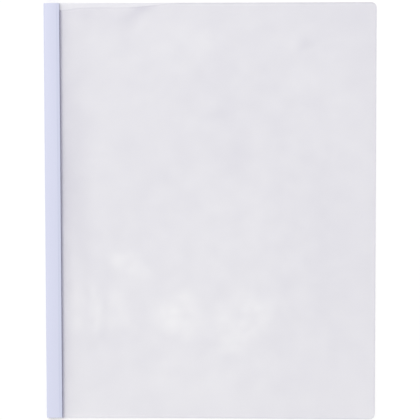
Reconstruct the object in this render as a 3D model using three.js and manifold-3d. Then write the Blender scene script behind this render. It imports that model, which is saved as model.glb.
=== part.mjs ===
// A clear film report cover, letter size, held by a slide-on binding bar.
//
// It lies flat on its back leaf. X runs from the bar to the open edge, Y runs up
// the page, Z points up from the surface it lies on. Millimetres. The origin is at
// the middle of the footprint, on that surface.

import * as THREE from 'three';
import { mergeVertices } from 'three/addons/utils/BufferGeometryUtils.js';
import Module from 'manifold-3d';

// Overall sizes
const coverWidth = 221.4;   // back of the bar to the open edge of the leaves
const coverHeight = 279.4;  // bottom edge to top edge, 11 inches

// Film: one sheet, folded once along the bar
const filmThickness = 0.2;
const leafGap = 0.3;             // air between the two leaves
const openCornerRadius = 3.5;    // corners at the open edge
const foldRadius = 0.9;          // outside of the fold
const foldClearance = 0.3;       // fold to the inside of the bar's back
const sagLength = 95;            // from the bar's pinch to where the film lies flat

// Top edge of the front leaf, which runs lower towards the bar, in two steps
const nearDipDepth = 1.75;
const nearDipLength = 16;        // from the lips of the bar
const farDipDepth = 3;
const farDipStart = 42;          // from the lips of the bar
const farDipEnd = 84;

// Binding bar: an extruded channel with an even wall, slid on flush with the top edge
const barShortfall = 0.4;        // how much shorter than the cover it is
const barWidth = 10.5;           // back to lip tips, along X
const barThickness = 4.8;        // over the two legs, along Z: 3.1 inside, an eighth of an inch
const barWall = 0.85;
const barCornerRadius = 1.3;     // outside of the corners at the back
const pinchInset = 1.5;          // lip tips to the narrowest place
const pinchClearance = 0.05;     // film to the bar at the narrowest place
const pinchRadius = 0.8;         // middle of the wall, where the legs turn outward
const legAngle = THREE.MathUtils.degToRad(17);  // slope of a leg where it meets the pinch
const lipAngle = THREE.MathUtils.degToRad(25);  // slope of a lip

// Fineness of the round stretches
const arcSteps = 8;
const curveSteps = 12;
const dipSteps = 10;

// Places that follow from the sizes
const backX = -coverWidth / 2;
const openX = coverWidth / 2;
const lipX = backX + barWidth;
const pinchX = lipX - pinchInset;
const midZ = barThickness / 2;
const topY = coverHeight / 2;
const barLength = coverHeight - barShortfall;
const leafOffset = (leafGap + filmThickness) / 2;  // mid plane to the middle of a leaf
const backLeafZ = filmThickness / 2;               // middle of the back leaf where it lies flat
const foldCentreX = backX + barWall + foldClearance + foldRadius;
const legStartX = backX + barWall;                 // where the bar's legs leave its spine
const cutMargin = 5;                               // how far cutting solids reach past the part

const wasm = await Module();
wasm.setup();

// Smooth step from 0 to 1
function ease(share) {
  return THREE.MathUtils.smoothstep(share, 0, 1);
}

// A solid from an outline in X and Z, centred on Y = 0
function extrudeAlongY(outline, length) {
  const geometry = new THREE.ExtrudeGeometry(new THREE.Shape(outline), {
    depth: length,
    bevelEnabled: false,
  });
  geometry.translate(0, 0, -length / 2);
  geometry.rotateX(Math.PI / 2);
  return geometry;
}

// A solid from an outline in X and Y, between two heights
function extrudeAlongZ(outline, lowZ, highZ) {
  const geometry = new THREE.ExtrudeGeometry(new THREE.Shape(outline), {
    depth: highZ - lowZ,
    bevelEnabled: false,
  });
  geometry.translate(0, 0, lowZ);
  return geometry;
}

function toSolid(geometry) {
  geometry.deleteAttribute('normal');
  geometry.deleteAttribute('uv');
  const merged = mergeVertices(geometry);
  return new wasm.Manifold(new wasm.Mesh({
    numProp: 3,
    vertProperties: new Float32Array(merged.attributes.position.array),
    triVerts: new Uint32Array(merged.index.array),
  }));
}

function toGeometry(solid) {
  const mesh = solid.getMesh();
  const geometry = new THREE.BufferGeometry();
  geometry.setAttribute('position', new THREE.BufferAttribute(mesh.vertProperties, mesh.numProp));
  geometry.setIndex(new THREE.BufferAttribute(mesh.triVerts, 1));
  geometry.computeVertexNormals();
  return geometry;
}

// The two sides of a strip of even thickness that follows a line of points
function thicken(line, thickness) {
  const left = [];
  const right = [];
  line.forEach((point, i) => {
    const before = line[Math.max(i - 1, 0)];
    const after = line[Math.min(i + 1, line.length - 1)];
    const along = after.clone().sub(before).normalize();
    const side = new THREE.Vector2(-along.y, along.x).multiplyScalar(thickness / 2);
    left.push(point.clone().add(side));
    right.unshift(point.clone().sub(side));
  });
  return { left, right };
}

// Points of an arc about a centre, from one angle to another
function arc(centreX, centreZ, radius, fromAngle, toAngle, steps) {
  const points = [];
  for (let i = 0; i <= steps; i += 1) {
    const angle = fromAngle + (toAngle - fromAngle) * i / steps;
    points.push(new THREE.Vector2(
      centreX + radius * Math.cos(angle),
      centreZ + radius * Math.sin(angle),
    ));
  }
  return points;
}

// A line of points mirrored across the mid plane and run backwards
function mirrored(points) {
  return points.map((point) => new THREE.Vector2(point.x, 2 * midZ - point.y)).reverse();
}

// Height of the middle of the back leaf outside the pinch: a strip clamped level
// at the pinch, bending under its own weight until it lies flat
function backLeafHeight(x) {
  const share = THREE.MathUtils.clamp(1 - (x - pinchX) / sagLength, 0, 1);
  const drop = midZ - leafOffset - backLeafZ;
  return backLeafZ + drop * (4 * share ** 3 - 3 * share ** 4);
}

// Half the distance between the middles of the leaves, inside the bar
function leafSpread(x) {
  const crown = foldRadius - filmThickness / 2;
  return crown + (leafOffset - crown) * ease((x - foldCentreX) / (pinchX - foldCentreX));
}

// The middle of the front leaf, from the fold's crown to past the open edge
function frontLeafLine() {
  const points = [];
  for (let i = 1; i <= curveSteps; i += 1) {
    const x = THREE.MathUtils.lerp(foldCentreX, pinchX, i / curveSteps);
    points.push(new THREE.Vector2(x, midZ + leafSpread(x)));
  }
  for (let i = 1; i <= 2 * curveSteps; i += 1) {
    const x = pinchX + sagLength * i / (2 * curveSteps);
    points.push(new THREE.Vector2(x, backLeafHeight(x) + 2 * leafOffset));
  }
  points.push(new THREE.Vector2(openX + cutMargin, backLeafZ + 2 * leafOffset));
  return points;
}

// The middle of the back leaf, run from past the open edge to the fold
function backLeafLine() {
  return frontLeafLine().map((point) => {
    const inside = point.x <= pinchX;
    const z = inside ? 2 * midZ - point.y : backLeafHeight(point.x);
    return new THREE.Vector2(point.x, z);
  }).reverse();
}

function filmSection() {
  const fold = arc(
    foldCentreX,
    midZ,
    foldRadius - filmThickness / 2,
    -Math.PI / 2,
    -3 * Math.PI / 2,
    2 * arcSteps,
  );
  const strip = thicken([...backLeafLine(), ...fold, ...frontLeafLine()], filmThickness);
  return [...strip.left, ...strip.right];
}

// The cover seen from above, square at the bar and rounded at the open edge
function filmOutline() {
  const r = openCornerRadius;
  const farX = backX - cutMargin;
  return [
    new THREE.Vector2(farX, -topY),
    ...arc(openX - r, -topY + r, r, -Math.PI / 2, 0, arcSteps),
    ...arc(openX - r, topY - r, r, 0, Math.PI / 2, arcSteps),
    new THREE.Vector2(farX, topY),
  ];
}

// How far the front leaf's top edge lies below the back leaf's
function edgeDip(x) {
  const distance = x - lipX;
  const near = nearDipDepth * (1 - ease(distance / nearDipLength));
  const far = farDipDepth * (1 - ease((distance - farDipStart) / (farDipEnd - farDipStart)));
  const insideBar = ease((x - foldCentreX) / (pinchX - foldCentreX));
  return (near + far) * insideBar;
}

// What the front leaf lacks at its top edge, as a solid that stays above the back leaf
function dipSolid() {
  const stops = [foldCentreX, pinchX, lipX, lipX + nearDipLength, lipX + farDipStart, lipX + farDipEnd];
  const edge = [];
  for (let s = 1; s < stops.length; s += 1) {
    for (let i = 0; i < dipSteps; i += 1) {
      const x = THREE.MathUtils.lerp(stops[s - 1], stops[s], i / dipSteps);
      edge.push(new THREE.Vector2(x, topY - edgeDip(x)));
    }
  }
  const endX = lipX + farDipEnd;
  edge.push(new THREE.Vector2(endX, topY));
  edge.push(new THREE.Vector2(endX, topY + cutMargin));
  edge.push(new THREE.Vector2(foldCentreX, topY + cutMargin));

  const aboveGap = [new THREE.Vector2(foldCentreX, midZ)];
  for (const point of frontLeafLine()) {
    const z = point.x <= pinchX ? midZ : point.y - leafOffset;
    aboveGap.push(new THREE.Vector2(point.x, z));
  }
  aboveGap.push(new THREE.Vector2(openX + cutMargin, barThickness + cutMargin));
  aboveGap.push(new THREE.Vector2(foldCentreX, barThickness + cutMargin));

  const plan = toSolid(extrudeAlongZ(edge, -cutMargin, barThickness + cutMargin));
  const above = toSolid(extrudeAlongY(aboveGap, coverHeight + 4 * cutMargin));
  return plan.intersect(above);
}

function coverFilm() {
  const folded = toSolid(extrudeAlongY(filmSection(), coverHeight + 2 * cutMargin));
  const plan = toSolid(extrudeAlongZ(filmOutline(), -cutMargin, barThickness + cutMargin));
  const material = new THREE.MeshStandardMaterial({
    color: 0xe9e9f0,
    roughness: 0.16,
    metalness: 0,
    transparent: true,
    opacity: 0.35,
  });
  const mesh = new THREE.Mesh(toGeometry(folded.intersect(plan).subtract(dipSolid())), material);
  mesh.name = 'cover_film';
  return mesh;
}

// The middle of the bar's wall from the middle of its back to the tip of the upper lip
function upperWallLine() {
  const half = barWall / 2;
  const cornerRadius = barCornerRadius - half;
  const cornerX = backX + barCornerRadius;
  const cornerZ = barThickness - barCornerRadius;
  const pinchZ = midZ + leafOffset + filmThickness / 2 + pinchClearance + half;

  const corner = arc(cornerX, cornerZ, cornerRadius, Math.PI, Math.PI / 2, arcSteps);
  const turn = arc(
    pinchX,
    pinchZ + pinchRadius,
    pinchRadius,
    -Math.PI / 2 - legAngle,
    -Math.PI / 2 + lipAngle,
    arcSteps,
  );

  const legStart = corner[corner.length - 1];
  const legEnd = turn[0];
  const reach = (legEnd.x - legStart.x) / 3;
  const leg = new THREE.CubicBezierCurve(
    legStart,
    new THREE.Vector2(legStart.x + reach, legStart.y),
    new THREE.Vector2(legEnd.x - reach, legEnd.y + reach * Math.tan(legAngle)),
    legEnd,
  ).getPoints(curveSteps).slice(1, -1);

  const turnEnd = turn[turn.length - 1];
  const tipX = lipX - half;
  const tip = new THREE.Vector2(tipX, turnEnd.y + (tipX - turnEnd.x) * Math.tan(lipAngle));
  return [...corner, ...leg, ...turn, tip];
}

// The bar's section: an even wall with round lip tips
function barSection() {
  const upper = upperWallLine();
  const wall = thicken([...mirrored(upper), ...upper], barWall);
  const half = barWall / 2;
  const tip = upper[upper.length - 1];
  const upperTip = arc(
    tip.x,
    tip.y,
    half,
    lipAngle + Math.PI / 2,
    lipAngle - Math.PI / 2,
    arcSteps,
  ).slice(1, -1);
  return [...wall.left, ...upperTip, ...wall.right, ...mirrored(upperTip)];
}

// A block as long as the bar and more, between two places along X and two heights
function cuttingBlock(lowX, highX, lowZ, highZ) {
  const outline = [
    new THREE.Vector2(lowX, lowZ),
    new THREE.Vector2(highX, lowZ),
    new THREE.Vector2(highX, highZ),
    new THREE.Vector2(lowX, highZ),
  ];
  return toSolid(extrudeAlongY(outline, barLength + 2 * cutMargin));
}

function barMesh(name, solid) {
  const material = new THREE.MeshStandardMaterial({
    color: 0xdadef1,
    roughness: 0.38,
    metalness: 0,
  });
  const mesh = new THREE.Mesh(toGeometry(solid), material);
  mesh.name = name;
  mesh.position.y = topY - barLength / 2;
  return mesh;
}

// The channel as three solids that meet face to face: its spine and its two legs
function bindingBar() {
  const channel = toSolid(extrudeAlongY(barSection(), barLength));
  const endX = lipX + cutMargin;
  const spine = cuttingBlock(backX - cutMargin, legStartX, -cutMargin, barThickness + cutMargin);
  const front = cuttingBlock(legStartX, endX, midZ, barThickness + cutMargin);
  const back = cuttingBlock(legStartX, endX, -cutMargin, midZ);
  const bar = new THREE.Group();
  bar.add(barMesh('bar_spine', channel.intersect(spine)));
  bar.add(barMesh('bar_front_leg', channel.intersect(front)));
  bar.add(barMesh('bar_back_leg', channel.intersect(back)));
  return bar;
}

const reportCover = new THREE.Group();
reportCover.add(coverFilm());
reportCover.add(bindingBar());

export default reportCover;
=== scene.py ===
import math

import bpy
import numpy as np
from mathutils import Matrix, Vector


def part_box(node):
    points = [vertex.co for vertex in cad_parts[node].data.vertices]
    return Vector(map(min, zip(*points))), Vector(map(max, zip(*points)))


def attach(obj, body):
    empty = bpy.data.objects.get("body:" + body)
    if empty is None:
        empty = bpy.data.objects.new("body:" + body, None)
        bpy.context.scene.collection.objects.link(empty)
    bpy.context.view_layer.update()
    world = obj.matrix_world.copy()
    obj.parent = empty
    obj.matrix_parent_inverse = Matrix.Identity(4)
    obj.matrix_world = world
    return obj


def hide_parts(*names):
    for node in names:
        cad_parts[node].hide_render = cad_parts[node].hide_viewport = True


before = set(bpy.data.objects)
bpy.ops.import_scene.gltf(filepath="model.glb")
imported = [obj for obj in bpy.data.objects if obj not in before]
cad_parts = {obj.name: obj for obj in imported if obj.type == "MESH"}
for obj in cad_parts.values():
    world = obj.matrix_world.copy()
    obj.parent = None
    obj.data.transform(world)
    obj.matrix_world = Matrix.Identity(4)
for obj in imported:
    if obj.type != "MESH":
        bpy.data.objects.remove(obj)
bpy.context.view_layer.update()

MM = 0.001

# Places of the film and the bar, from the CAD parts in model.glb
film_low, film_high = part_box("cover_film")
spine_low, spine_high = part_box("bar_spine")
BACK_X = spine_low.x
OPEN_X = film_high.x
LIP_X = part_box("bar_front_leg")[1].x
TOP_Y = film_high.y
BOTTOM_Y = film_low.y
BAR_BOTTOM_Y = spine_low.y
BAR_TOP_Y = spine_high.y
MID_Z = (spine_high.z + spine_low.z) / 2

# Sizes of the film
FILM_THICKNESS = 0.2 * MM
LEAF_GAP = 0.3 * MM
LEAF_OFFSET = (LEAF_GAP + FILM_THICKNESS) / 2
OPEN_CORNER_RADIUS = 3.5 * MM
FOLD_RADIUS = 0.9 * MM
SAG_LENGTH = 95 * MM
NEAR_DIP_DEPTH = 1.75 * MM
NEAR_DIP_LENGTH = 16 * MM
FAR_DIP_DEPTH = 3 * MM
FAR_DIP_START = 42 * MM
FAR_DIP_END = 84 * MM

# Sizes of the bar
BAR_WALL = 0.85 * MM
BAR_CORNER_RADIUS = 1.3 * MM
PINCH_INSET = 1.5 * MM
PINCH_CLEARANCE = 0.05 * MM
PINCH_RADIUS = 0.8 * MM
LEG_ANGLE = math.radians(17)
LIP_ANGLE = math.radians(25)
PINCH_X = LIP_X - PINCH_INSET
FOLD_CENTRE_X = film_low.x + FOLD_RADIUS

# Soft spots of the film: centre, half sizes, turn, and strength, height or amount
CLING_STEEPNESS = 1.7
RIDGE_STEEPNESS = 1.3
CLOUD_STEEPNESS = 1.0
OUTLINE_LOBES = ((3, 0.14), (5, 0.09))
CLING_SPOTS = (
    ((-20 * MM, -69 * MM), (19 * MM, 25 * MM), 1.45, 0.7),
    ((-26 * MM, -71 * MM), (12 * MM, 15 * MM), 0.5, 0.95),
    ((-13 * MM, -73 * MM), (13 * MM, 16 * MM), 0.2, 0.75),
    ((18 * MM, -80 * MM), (19 * MM, 20 * MM), 0.6, 0.7),
    ((31 * MM, -69 * MM), (17 * MM, 15 * MM), 0.9, 0.65),
    ((20 * MM, -62 * MM), (15 * MM, 13 * MM), 0.0, 0.45),
    ((14 * MM, -92 * MM), (12 * MM, 5.5 * MM), 0.1, 0.6),
    ((-55.5 * MM, -34 * MM), (15 * MM, 10 * MM), -0.3, 0.75),
    ((-46 * MM, -40 * MM), (9 * MM, 6 * MM), -0.5, 0.45),
    ((-77 * MM, -66 * MM), (5 * MM, 24 * MM), 0.05, 0.7),
    ((-90 * MM, -66 * MM), (6 * MM, 22 * MM), -0.05, 0.5),
    ((-63 * MM, -66 * MM), (11 * MM, 18 * MM), 0.1, 0.45),
)
FRONT_RIDGES = (
    ((-54 * MM, 129 * MM), (9 * MM, 26 * MM), -1.1, 0.35 * MM),
    ((-46.5 * MM, 137 * MM), (5 * MM, 4 * MM), 0.0, -0.15 * MM),
    ((-76 * MM, 40 * MM), (9 * MM, 85 * MM), 0.0, 0.3 * MM),
)
CLOUD_AND_SHADE_PATCHES = (
    # painted shade: a darker band where the film slopes up to the bar
    ((-93 * MM, 28 * MM), (19 * MM, 90 * MM), 0.0, 0.26),
    ((8 * MM, 66 * MM), (15 * MM, 9 * MM), 0.2, 0.1),
    ((15 * MM, 36 * MM), (26 * MM, 27 * MM), 0.0, 0.09),
    ((72 * MM, 88 * MM), (12 * MM, 14 * MM), 0.4, -0.06),
    ((-85 * MM, 136 * MM), (22 * MM, 11 * MM), 0.0, 0.16),
    ((-70 * MM, 139 * MM), (34 * MM, 3.5 * MM), 0.0, 0.28),
    ((-14 * MM, 115 * MM), (40 * MM, 27 * MM), 0.0, -0.1),
    ((-10 * MM, -118 * MM), (78 * MM, 26 * MM), 0.0, -0.06),
    ((63 * MM, 112 * MM), (9 * MM, 6 * MM), 0.5, 0.15),
    # painted shade: the next three darken the front leaf's ridge and the kink in its top edge
    ((-57 * MM, 130 * MM), (11 * MM, 25 * MM), -1.2, 0.18),
    ((-50 * MM, 132 * MM), (3 * MM, 16 * MM), -1.1, 0.14),
    ((-45 * MM, 136.5 * MM), (11 * MM, 2.5 * MM), 0.12, 0.4),
)

# Waves of the loose front leaf: direction, length for each radian, and phase
LONG_WAVE_ACROSS = ((1, 0), 31 * MM, 0.8)
LONG_WAVE_ALONG = ((0, 1), 44 * MM, -0.4)
LONG_WAVE_SLANTED = ((1, 0.7), 23 * MM, 2.1)
SLANTED_SHARE = 0.6
SHORT_WAVE_ACROSS = ((1, -0.5), 7.5 * MM, 0.5)
SHORT_WAVE_ALONG = ((0.3, 1), 13 * MM, 1.1)

# Lift of the front leaf over its even gap
LOOSE_START = 4 * MM
LOOSE_LENGTH = 36 * MM
LOOSE_LIFT = 0.2 * MM
LONG_WAVE_LIFT = 0.22 * MM
SHORT_WAVE_LIFT = 0.05 * MM
RIDGE_START_LENGTH = 12 * MM
CLING_DROP = 0.2 * MM
CORNER_LIFT = 0.35 * MM
CORNER_REACH = 45 * MM

# Cloudiness of the film, painted shade by the bar, a painted light trend along the page, and the bands that
# they cover
FRONT_CLOUD = 0.06
BACK_CLOUD = 0.8
LONG_WAVE_CLOUD = 0.05
SHORT_WAVE_CLOUD = 0.02
CLOUD_WAVE_SCALE = (1.3, 1.2)
CLOUD_WAVE_SHIFT = 30 * MM
# darker towards the open side of the page
OPEN_SIDE_DARKENING = 0.05
OPEN_SIDE_START = 20 * MM
OPEN_SIDE_LENGTH = 60 * MM
EDGE_CLOUD = 0.45
EDGE_BAND = 1.0 * MM
# painted shadow: a dark band on the front leaf along the bar's lip, where the lip shades it
LIP_SHADOW_AMOUNT = 4.6
LIP_SHADOW_BAND = 1.9 * MM
LIP_SHADOW_INNER_BAND = 1.2 * MM
# painted shade: a fainter, wider darkening of the front leaf beside the bar
BAR_SHADE_AMOUNT = 0.3
BAR_SHADE_BAND = 10 * MM
# painted light: cloudier towards the top and clearer towards the bottom, evening out the lamp's fall-off
# along the page
PAINTED_LIGHT_TREND = 0.04

# Looks of the film, with the scale of each noise in repeats for a metre
CLEAR_TINT = (0.998, 0.997, 0.999)
# the cloudy tint also carries the painted shade by the bar and the painted light trend
CLOUDY_AND_SHADED_TINT = (0.9555, 0.953, 0.9675)
MOTTLE_SCALE = 75
MOTTLE_SIZE = 0.3
SPECK_SCALE = 900
SPECK_SIZE = 0.12
FLECK_SCALE = 220
FLECK_NOISES = (0.35, 0.65)
FLECK_STRENGTHS = (0.6, 1.3)
CLING_CLEARING = 0.22
HAZE_COLOUR = (0.82, 0.81, 0.88, 1)
HAZE_ROUGHNESS = 0.5
HAZE_SHARES = (0.002, 0.02)
HAZE_IOR = 1.49
FILM_GRAIN_SCALE = 600
FILM_GRAIN_STRENGTH = 0.02
FILM_GRAIN_DEPTH = 0.01 * MM
GLOSS_NOISES = (-0.1, 0.1)
GLOSS_ROUGHNESSES = (0.06, 0.14)
HEAD_ON_SHARE = 0.04
SLANT_POWER = 5

# Looks of the bar, with the scale of each noise in repeats for a metre
BAR_LIGHT = (0.719, 0.738, 0.898)
BAR_SHADE = (0.689, 0.708, 0.868)
# painted shade: a darker, bluer tint over the pinch valley and the lip, where they are shaded
BAR_VALLEY_SHADE = (0.64, 0.665, 0.815)
VALLEY_SHADE_BAND = 0.9 * MM
DIE_LINE_SCALE = 2600
DIE_LINE_STRETCH = (1, 0.012, 1)
DIE_LINE_STRENGTH = 0.2
DIE_LINE_DEPTH = 0.03 * MM
DIE_LINE_COLOUR_SIZE = 0.3
FLOW_SCALE = 60
FLOW_STRETCH = (1, 0.3, 1)
FLOW_NOISES = (0.3, 0.7)
FLOW_ROUGHNESSES = (0.33, 0.45)
BAR_GRAIN_SCALE = 3500
BAR_GRAIN_STRENGTH = 0.1
BAR_GRAIN_DEPTH = 0.02 * MM
BAR_IOR = 1.46

# Studio
FLOOR_COLOUR = (0.85, 0.85, 0.85)
FLOOR_LIFT = 0.2
FLOOR_SIZE = 6.0
FLOOR_Z = -0.1 * MM
WORLD_FILL = 0.66
LAMP_PLACE = (-0.75, 1.2, 2.8)
LAMP_SIZE = 1.5
LAMP_POWER = 37
WHITE = (1, 1, 1, 1)
TRANSPARENT_BOUNCES = 32

# Fineness of the meshes
GRID_STEP = 2.8 * MM
ARC_STEPS = 16
LEG_STEPS = 28
BAR_STEP = 6 * MM
BAR_CHAMFER = 0.12 * MM
BEND_COLUMNS = 17
CORNER_COLUMNS = 11
INSIDE_COLUMNS = 15
SMOOTH_ANGLE = math.radians(40)
NOISE_ROUGHNESS = 0.6

# Camera, fitted to the four edges of the cover in the photograph
CAMERA_PLACE = (51.72 * MM, 93.4 * MM, 1247.78 * MM)
CAMERA_TURN = (math.radians(-4.2162), math.radians(2.3714), math.radians(-0.1033))
CAMERA_LENS = 160
CAMERA_SENSOR = 36
CLIP_START = 0.01
CLIP_END = 50


# Small helpers for shapes

def ease(share):
    share = np.clip(share, 0, 1)
    return share * share * (3 - 2 * share)


def arc(centre, radius, start, end, steps):
    angles = np.linspace(start, end, steps + 1)
    return np.stack([centre[0] + radius * np.cos(angles), centre[1] + radius * np.sin(angles)], 1)


def sides_of(line):
    """Unit normals to the left of a line of points in X and Z."""
    along = np.gradient(line, axis=0)
    along /= np.linalg.norm(along, axis=1)[:, None]
    return np.stack([-along[:, 1], along[:, 0]], 1)


def mirrored(line):
    return np.stack([line[:, 0], 2 * MID_Z - line[:, 1]], 1)[::-1]


def piece_from(name, points, faces, material):
    mesh = bpy.data.meshes.new(name)
    mesh.from_pydata(points.tolist(), [], faces)
    mesh.materials.append(material)
    mesh.polygons.foreach_set("use_smooth", [True] * len(mesh.polygons))
    mesh.set_sharp_from_angle(angle=SMOOTH_ANGLE)
    mesh.validate()
    piece = bpy.data.objects.new(name, mesh)
    bpy.context.scene.collection.objects.link(piece)
    return piece


# Small helpers for materials

def new_material(name):
    material = bpy.data.materials.new(name)
    material.use_nodes = True
    material.node_tree.nodes.clear()
    return material, material.node_tree


def node(tree, kind, values=None, **settings):
    made = tree.nodes.new(kind)
    for key, value in settings.items():
        setattr(made, key, value)
    for key, value in (values or {}).items():
        if isinstance(value, bpy.types.NodeSocket):
            tree.links.new(value, made.inputs[key])
        else:
            made.inputs[key].default_value = value
    return made


def maths(tree, operation, *values):
    return node(tree, "ShaderNodeMath", dict(enumerate(values)), operation=operation).outputs[0]


def noise(tree, place, scale, detail, stretch=(1, 1, 1)):
    """A noise about 0.5, its scale in repeats for a metre along an axis that isn't stretched."""
    moved = node(tree, "ShaderNodeMapping", {"Vector": place, "Scale": stretch})
    values = {"Vector": moved.outputs[0], "Scale": scale, "Detail": detail, "Roughness": NOISE_ROUGHNESS}
    return node(tree, "ShaderNodeTexNoise", values).outputs["Fac"]


def swing(tree, value, size):
    """Turns a noise about 0.5 into one about 0 of the given size."""
    return maths(tree, "MULTIPLY_ADD", value, size, -size / 2)


def ramp(tree, value, results, between=(0.0, 1.0)):
    """Turns a value between two numbers into one between two results."""
    values = {"Value": value, "From Min": between[0], "From Max": between[1]}
    values.update({"To Min": results[0], "To Max": results[1]})
    return node(tree, "ShaderNodeMapRange", values).outputs[0]


def bump(tree, height, strength, depth, below=None):
    """The normal of a bump, on top of another's normal where one is given."""
    values = {"Height": height, "Strength": strength, "Distance": depth}
    if below is not None:
        values["Normal"] = below
    return node(tree, "ShaderNodeBump", values).outputs[0]


def blend(tree, share, first, second):
    """A colour between two, by a share that may pass 1. Each is a socket or three numbers."""
    made = node(tree, "ShaderNodeMix", {0: share}, data_type="RGBA", clamp_factor=False)
    for socket, colour in ((made.inputs[6], first), (made.inputs[7], second)):
        if isinstance(colour, bpy.types.NodeSocket):
            tree.links.new(colour, socket)
        else:
            socket.default_value = (*colour, 1)
    return made.outputs[2]


def mix(tree, share, first, second):
    return node(tree, "ShaderNodeMixShader", {0: share, 1: first.outputs[0], 2: second.outputs[0]})


def finish(tree, surface):
    node(tree, "ShaderNodeOutputMaterial", {"Surface": surface.outputs[0]})


# Film shape

def share_to_pinch(x):
    """0 at the middle of the fold, rising softly to 1 at the bar's pinch."""
    return ease((x - FOLD_CENTRE_X) / (PINCH_X - FOLD_CENTRE_X))


def leaf_height(x):
    """Height of the middle of the back leaf outside the pinch."""
    share = np.clip(1 - (x - PINCH_X) / SAG_LENGTH, 0, 1)
    low = FILM_THICKNESS / 2
    drop = MID_Z - LEAF_OFFSET - low
    return low + drop * (4 * share**3 - 3 * share**4)


def leaf_columns():
    """X places across a leaf from the pinch to the open edge."""
    bend_end = LIP_X + 2 * LIP_SHADOW_BAND
    bend = np.linspace(PINCH_X, bend_end, BEND_COLUMNS)
    corner = OPEN_X - OPEN_CORNER_RADIUS
    count = int(round((corner - bend_end) / GRID_STEP))
    across = np.linspace(bend_end, corner, count + 1)
    turn = corner + OPEN_CORNER_RADIUS * np.sin(np.linspace(0, math.pi / 2, CORNER_COLUMNS))
    return np.concatenate([bend[:-1], across, turn[1:]])


def film_section():
    """The middle of the film from the back leaf's open edge round the fold to the front leaf's."""
    crown = FOLD_RADIUS - FILM_THICKNESS / 2
    inside_x = np.linspace(FOLD_CENTRE_X, PINCH_X, INSIDE_COLUMNS)[1:-1]
    spread = crown + (LEAF_OFFSET - crown) * share_to_pinch(inside_x)
    inside = np.stack([inside_x, MID_Z + spread], 1)
    outside_x = leaf_columns()
    back = np.stack([outside_x, leaf_height(outside_x)], 1)
    front = np.stack([outside_x, leaf_height(outside_x) + 2 * LEAF_OFFSET], 1)
    fold = arc((FOLD_CENTRE_X, MID_Z), crown, 1.5 * math.pi, 0.5 * math.pi, ARC_STEPS)
    line = np.concatenate([back[::-1], mirrored(inside), fold, inside, front])
    is_front = np.arange(len(line)) >= len(line) - len(front) - len(inside)
    return line, is_front


def edge_dip(x):
    """How far the front leaf's top edge lies below the back leaf's."""
    distance = x - LIP_X
    near = NEAR_DIP_DEPTH * (1 - ease(distance / NEAR_DIP_LENGTH))
    far = FAR_DIP_DEPTH * (1 - ease((distance - FAR_DIP_START) / (FAR_DIP_END - FAR_DIP_START)))
    return (near + far) * share_to_pinch(x)


def corner_cut(x):
    """How far the rounded corners take the top and bottom edges in at the open edge."""
    beyond = np.clip(x - (OPEN_X - OPEN_CORNER_RADIUS), 0, OPEN_CORNER_RADIUS)
    return OPEN_CORNER_RADIUS - np.sqrt(OPEN_CORNER_RADIUS**2 - beyond**2)


def spot(x, y, centre, radii, turn, steepness):
    """1 inside a soft spot with an uneven outline, falling to 0 at its edge."""
    across = ((x - centre[0]) * math.cos(turn) + (y - centre[1]) * math.sin(turn)) / radii[0]
    along = ((y - centre[1]) * math.cos(turn) - (x - centre[0]) * math.sin(turn)) / radii[1]
    angle = np.arctan2(along, across)
    wobble = 1
    for (lobes, size), phase in zip(OUTLINE_LOBES, centre):
        wobble = wobble + size * np.sin(lobes * angle + phase / MM)
    return ease(steepness * (1 - np.hypot(across, along) * wobble))


def cling(x, y):
    """How far the two leaves cling together, 0 to 1."""
    total = np.zeros_like(x)
    for centre, radii, turn, strength in CLING_SPOTS:
        total = np.maximum(total, strength * spot(x, y, centre, radii, turn, CLING_STEEPNESS))
    return total


def wave(x, y, shape):
    direction, length, phase = shape
    return np.sin((direction[0] * x + direction[1] * y) / length + phase)


def waves(x, y):
    """Long and short waves of the loose front leaf, each about -1 to 1."""
    long = wave(x, y, LONG_WAVE_ACROSS) * wave(x, y, LONG_WAVE_ALONG)
    long = long + SLANTED_SHARE * wave(x, y, LONG_WAVE_SLANTED)
    short = wave(x, y, SHORT_WAVE_ACROSS) * wave(x, y, SHORT_WAVE_ALONG)
    return long / (1 + SLANTED_SHARE), short


def front_lift(x, y):
    """How far the front leaf rises above its even gap over the back leaf."""
    long, short = waves(x, y)
    loose = ease((x - LIP_X - LOOSE_START) / LOOSE_LENGTH)
    lift = loose * (LOOSE_LIFT + LONG_WAVE_LIFT * long + SHORT_WAVE_LIFT * short)
    ridge_start = ease((x - LIP_X) / RIDGE_START_LENGTH)
    for centre, radii, turn, height in FRONT_RIDGES:
        lift = lift + height * spot(x, y, centre, radii, turn, RIDGE_STEEPNESS) * ridge_start
    clinging = cling(x, y)
    lift = lift * (1 - clinging) - CLING_DROP * clinging
    corner = np.clip((np.abs(y) - TOP_Y + CORNER_REACH) / CORNER_REACH, 0, 1)
    side = np.clip((x - OPEN_X + CORNER_REACH) / CORNER_REACH, 0, 1)
    return lift + CORNER_LIFT * (corner * side) ** 2


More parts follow.
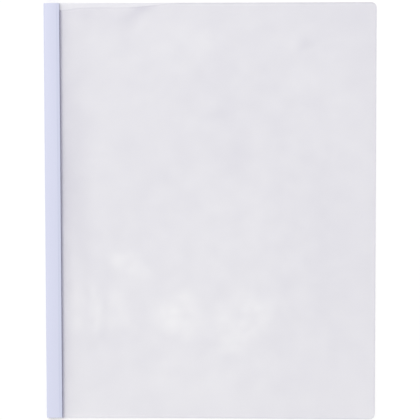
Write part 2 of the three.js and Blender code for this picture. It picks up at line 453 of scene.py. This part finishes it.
def cloud_and_painted_shade(x, y, low, high, is_front):
    """How cloudy the film looks, more on the back leaf and at the edges, plus painted shade along the bar's
    lip, beside the bar and over the front leaf's ridge, and a painted light trend along the page.
    """
    long, short = waves(x * CLOUD_WAVE_SCALE[0] + CLOUD_WAVE_SHIFT, y * CLOUD_WAVE_SCALE[1])
    cloud_and_shade = np.where(is_front, FRONT_CLOUD, BACK_CLOUD) + LONG_WAVE_CLOUD * long + SHORT_WAVE_CLOUD * short
    for centre, radii, turn, amount in CLOUD_AND_SHADE_PATCHES:
        cloud_and_shade = cloud_and_shade + amount * spot(x, y, centre, radii, turn, CLOUD_STEEPNESS)
    # darker towards the open side, and the painted light trend: cloudier towards the top, clearer towards the
    # bottom
    cloud_and_shade = cloud_and_shade + OPEN_SIDE_DARKENING * ease((x - OPEN_SIDE_START) / OPEN_SIDE_LENGTH) + PAINTED_LIGHT_TREND * y / TOP_Y
    edge = np.minimum(OPEN_X - x, np.minimum(high - y, y - low))
    cloud_and_shade = cloud_and_shade + EDGE_CLOUD * ease(1 - edge / EDGE_BAND)
    # painted shadow along the bar's lip and painted shade beside the bar, on the front leaf only
    lip_shadow = LIP_SHADOW_AMOUNT * ease(1 - (x - LIP_X) / LIP_SHADOW_BAND)
    lip_shadow = lip_shadow + BAR_SHADE_AMOUNT * ease(1 - (x - LIP_X) / BAR_SHADE_BAND)
    lip_shadow = lip_shadow * ease(1 - (LIP_X - x) / LIP_SHADOW_INNER_BAND)
    return cloud_and_shade + np.where(is_front, lip_shadow, 0)


def row_shares():
    """Places of the rows along the page, with one close to each edge."""
    height = TOP_Y - BOTTOM_Y
    near = EDGE_BAND / height
    rows = int(round(height / GRID_STEP))
    return np.concatenate([[0, near / 3], np.linspace(near, 1 - near, rows), [1 - near / 3, 1]])


def build_film(material):
    line, is_front = film_section()
    is_front = is_front[:, None]
    side = sides_of(line)
    share = row_shares()
    x = line[:, :1]
    low = BOTTOM_Y + corner_cut(x)
    high = TOP_Y - corner_cut(x) - np.where(is_front, edge_dip(x), 0)
    y = low + (high - low) * share[None, :]
    x = np.broadcast_to(x, y.shape)
    z = line[:, 1:] + np.where(is_front & (x > LIP_X), front_lift(x, y), 0)
    cloud_and_shade = cloud_and_painted_shade(x, y, low, high, is_front)

    half = FILM_THICKNESS / 2
    outer = np.stack([x + half * side[:, :1], y, z + half * side[:, 1:]], 2)
    inner = np.stack([x - half * side[:, :1], y, z - half * side[:, 1:]], 2)
    points = np.concatenate([outer.reshape(-1, 3), inner.reshape(-1, 3)])

    count = len(share)
    below = len(line) * count
    faces = []
    for i in range(len(line) - 1):
        for j in range(count - 1):
            a = i * count + j
            b = a + count
            faces.append((a, b, b + 1, a + 1))
            faces.append((below + a + 1, below + b + 1, below + b, below + a))
        for a, flip in ((i * count, False), (i * count + count - 1, True)):
            rim = (a, below + a, below + a + count, a + count)
            faces.append(rim[::-1] if flip else rim)
    last = (len(line) - 1) * count
    for j in range(count - 1):
        faces.append((j, j + 1, below + j + 1, below + j))
        faces.append((last + j, below + last + j, below + last + j + 1, last + j + 1))
    film = piece_from("clear_cover", points, faces, material)
    for name, values in (("cloud_and_painted_shade", cloud_and_shade), ("cling", cling(x, y))):
        layer = film.data.attributes.new(name, "FLOAT", "POINT")
        layer.data.foreach_set("value", np.concatenate([values.ravel(), values.ravel()]))
    return film


# Bar shape

def wall_line():
    """The middle of the bar's wall from the lower lip's tip to the upper one's."""
    half = BAR_WALL / 2
    corner_centre = (BACK_X + BAR_CORNER_RADIUS, 2 * MID_Z - BAR_CORNER_RADIUS)
    corner = arc(corner_centre, BAR_CORNER_RADIUS - half, math.pi, math.pi / 2, ARC_STEPS)
    pinch_z = MID_Z + LEAF_OFFSET + FILM_THICKNESS / 2 + PINCH_CLEARANCE + half
    down = -math.pi / 2
    turn = arc((PINCH_X, pinch_z + PINCH_RADIUS), PINCH_RADIUS, down - LEG_ANGLE, down + LIP_ANGLE, ARC_STEPS)
    start = corner[-1]
    end = turn[0]
    reach = (end[0] - start[0]) / 3
    first = start + np.array([reach, 0])
    second = end + np.array([-reach, reach * math.tan(LEG_ANGLE)])
    t = np.linspace(0, 1, LEG_STEPS + 1)[1:-1, None]
    leg = (1 - t) ** 3 * start + 3 * (1 - t) ** 2 * t * first + 3 * (1 - t) * t**2 * second + t**3 * end
    tip_x = LIP_X - half
    tip = turn[-1] + np.array([tip_x - turn[-1][0], (tip_x - turn[-1][0]) * math.tan(LIP_ANGLE)])
    upper = np.concatenate([corner, leg, turn, tip[None, :]])
    return np.concatenate([mirrored(upper), upper])


def bar_ring(line, wall):
    """The outline of the bar's section: outer side, upper lip tip, inner side, lower lip tip."""
    side = sides_of(line)
    left = line + side * wall / 2
    right = line - side * wall / 2
    upper_tip = arc(line[-1], wall / 2, LIP_ANGLE + math.pi / 2, LIP_ANGLE - math.pi / 2, ARC_STEPS)[1:-1]
    return np.concatenate([left, upper_tip, right[::-1], mirrored(upper_tip)])


def build_bar(material):
    line = wall_line()
    end_wall = BAR_WALL - 2 * BAR_CHAMFER
    count = int(round((BAR_TOP_Y - BAR_BOTTOM_Y) / BAR_STEP))
    stations = [(BAR_BOTTOM_Y, end_wall)]
    for y in np.linspace(BAR_BOTTOM_Y + BAR_CHAMFER, BAR_TOP_Y - BAR_CHAMFER, count + 1):
        stations.append((y, BAR_WALL))
    stations.append((BAR_TOP_Y, end_wall))
    rings = []
    for y, wall in stations:
        ring = bar_ring(line, wall)
        rings.append(np.stack([ring[:, 0], np.full(len(ring), y), ring[:, 1]], 1))
    points = np.concatenate(rings)
    size = len(rings[0])
    faces = []
    for i in range(len(rings) - 1):
        for j in range(size):
            a = i * size + j
            b = i * size + (j + 1) % size
            faces.append((a, b, b + size, a + size))
    steps = len(line)
    tip = ARC_STEPS - 1
    for first, flip in ((0, False), ((len(rings) - 1) * size, True)):
        for j in range(steps - 1):
            across = size - tip - 1 - j
            cap = (first + j, first + across, first + across - 1, first + j + 1)
            faces.append(cap[::-1] if flip else cap)
        upper = [first + k for k in range(steps - 1, steps + tip + 1)]
        lower = [first + size - tip - 1 + k for k in range(tip + 1)] + [first]
        for cap in (upper, lower):
            faces.append(tuple(cap) if flip else tuple(cap[::-1]))
    return piece_from("white_bar", points, faces, material)


# Materials

def film_material():
    material, tree = new_material("clear_film")
    place = node(tree, "ShaderNodeTexCoord").outputs["Object"]
    # cloud amount, with the painted shade by the bar and the painted light trend in it
    cloud_and_shade = node(tree, "ShaderNodeAttribute", attribute_name="cloud_and_painted_shade").outputs["Fac"]
    mottle = swing(tree, noise(tree, place, MOTTLE_SCALE, 5), MOTTLE_SIZE)
    specks = swing(tree, noise(tree, place, SPECK_SCALE, 2), SPECK_SIZE)
    clouded_and_shaded = maths(tree, "ADD", maths(tree, "ADD", cloud_and_shade, mottle), specks)
    clinging = node(tree, "ShaderNodeAttribute", attribute_name="cling").outputs["Fac"]
    flecks = ramp(tree, noise(tree, place, FLECK_SCALE, 4), FLECK_STRENGTHS, FLECK_NOISES)
    cleared = maths(tree, "MULTIPLY", clinging, flecks)
    amount = maths(tree, "MULTIPLY_ADD", cleared, -CLING_CLEARING, clouded_and_shaded)
    tint = blend(tree, amount, CLEAR_TINT, CLOUDY_AND_SHADED_TINT)
    clear = node(tree, "ShaderNodeBsdfTransparent", {"Color": tint})
    haze_values = {"Base Color": HAZE_COLOUR, "Roughness": HAZE_ROUGHNESS, "IOR": HAZE_IOR}
    haze = node(tree, "ShaderNodeBsdfPrincipled", haze_values)
    body = mix(tree, ramp(tree, amount, HAZE_SHARES), clear, haze)
    grain = bump(tree, noise(tree, place, FILM_GRAIN_SCALE, 3), FILM_GRAIN_STRENGTH, FILM_GRAIN_DEPTH)
    roughness = ramp(tree, mottle, GLOSS_ROUGHNESSES, GLOSS_NOISES)
    gloss = node(tree, "ShaderNodeBsdfGlossy", {"Roughness": roughness, "Normal": grain})
    facing = node(tree, "ShaderNodeLayerWeight", {"Blend": 0.5}).outputs["Facing"]
    slant = maths(tree, "POWER", facing, SLANT_POWER)
    mirror_share = maths(tree, "MULTIPLY_ADD", slant, 1 - HEAD_ON_SHARE, HEAD_ON_SHARE)
    finish(tree, mix(tree, mirror_share, body, gloss))
    return material


def bar_material():
    material, tree = new_material("white_bar")
    place = node(tree, "ShaderNodeTexCoord").outputs["Object"]
    die_lines = noise(tree, place, DIE_LINE_SCALE, 3, DIE_LINE_STRETCH)
    flow = noise(tree, place, FLOW_SCALE, 3, FLOW_STRETCH)
    grain = noise(tree, place, BAR_GRAIN_SCALE, 2)
    lined = bump(tree, die_lines, DIE_LINE_STRENGTH, DIE_LINE_DEPTH)
    grained = bump(tree, grain, BAR_GRAIN_STRENGTH, BAR_GRAIN_DEPTH, lined)
    across = node(tree, "ShaderNodeSeparateXYZ", {0: place}).outputs["X"]
    # painted shade over the pinch valley and the lip
    valley_shade_share = ramp(tree, across, (0, 1), (PINCH_X - VALLEY_SHADE_BAND, PINCH_X))
    colour_share = maths(tree, "ADD", flow, swing(tree, die_lines, DIE_LINE_COLOUR_SIZE))
    face_colour = blend(tree, colour_share, BAR_SHADE, BAR_LIGHT)
    colour = blend(tree, valley_shade_share, face_colour, BAR_VALLEY_SHADE)
    surface = node(
        tree,
        "ShaderNodeBsdfPrincipled",
        {
            "Base Color": colour,
            "Roughness": ramp(tree, flow, FLOW_ROUGHNESSES, FLOW_NOISES),
            "IOR": BAR_IOR,
            "Normal": grained,
        },
    )
    finish(tree, surface)
    return material


def seen_share(tree):
    """1 for the rays that look at the scene: camera, glossy and transmission rays."""
    path = node(tree, "ShaderNodeLightPath").outputs
    seen = maths(tree, "MAXIMUM", path["Is Camera Ray"], path["Is Glossy Ray"])
    return maths(tree, "MAXIMUM", seen, path["Is Transmission Ray"])


def floor_material():
    material, tree = new_material("pale_floor")
    paper = node(tree, "ShaderNodeBsdfDiffuse", {"Color": (*FLOOR_COLOUR, 1)})
    strength = maths(tree, "MULTIPLY", seen_share(tree), FLOOR_LIFT)
    lift = node(tree, "ShaderNodeEmission", {"Strength": strength})
    finish(tree, node(tree, "ShaderNodeAddShader", {0: paper.outputs[0], 1: lift.outputs[0]}))
    return material


# Studio

def build_floor():
    corners = [(-FLOOR_SIZE, -FLOOR_SIZE, FLOOR_Z), (FLOOR_SIZE, -FLOOR_SIZE, FLOOR_Z)]
    corners += [(FLOOR_SIZE, FLOOR_SIZE, FLOOR_Z), (-FLOOR_SIZE, FLOOR_SIZE, FLOOR_Z)]
    mesh = bpy.data.meshes.new("studio_floor")
    mesh.from_pydata(corners, [], [(0, 1, 2, 3)])
    mesh.materials.append(floor_material())
    floor = bpy.data.objects.new("studio_floor", mesh)
    bpy.context.scene.collection.objects.link(floor)


def build_world():
    world = bpy.data.worlds.new("studio")
    bpy.context.scene.world = world
    world.use_nodes = True
    tree = world.node_tree
    tree.nodes.clear()
    strength = ramp(tree, seen_share(tree), (WORLD_FILL, 1))
    light = node(tree, "ShaderNodeBackground", {"Color": WHITE, "Strength": strength})
    node(tree, "ShaderNodeOutputWorld", {"Surface": light.outputs[0]})


def build_lamp():
    lamp = bpy.data.lights.new("softbox", "AREA")
    lamp.shape = "SQUARE"
    lamp.size = LAMP_SIZE
    lamp.energy = LAMP_POWER
    holder = bpy.data.objects.new("softbox", lamp)
    holder.location = LAMP_PLACE
    holder.rotation_euler = (-holder.location).to_track_quat("-Z", "Y").to_euler()
    bpy.context.scene.collection.objects.link(holder)


def build_camera():
    data = bpy.data.cameras.new("camera")
    data.lens = CAMERA_LENS
    data.sensor_width = CAMERA_SENSOR
    data.clip_start = CLIP_START
    data.clip_end = CLIP_END
    camera = bpy.data.objects.new("camera", data)
    camera.location = CAMERA_PLACE
    camera.rotation_euler = CAMERA_TURN
    bpy.context.scene.collection.objects.link(camera)
    bpy.context.scene.camera = camera


build_camera()
build_floor()
build_world()
build_lamp()
bpy.context.scene.view_settings.view_transform = "Standard"
bpy.context.scene.cycles.transparent_max_bounces = TRANSPARENT_BOUNCES

film = build_film(film_material())
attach(film, "cover")
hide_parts("cover_film")

bar = build_bar(bar_material())
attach(bar, "bar")
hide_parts("bar_spine", "bar_front_leg", "bar_back_leg")
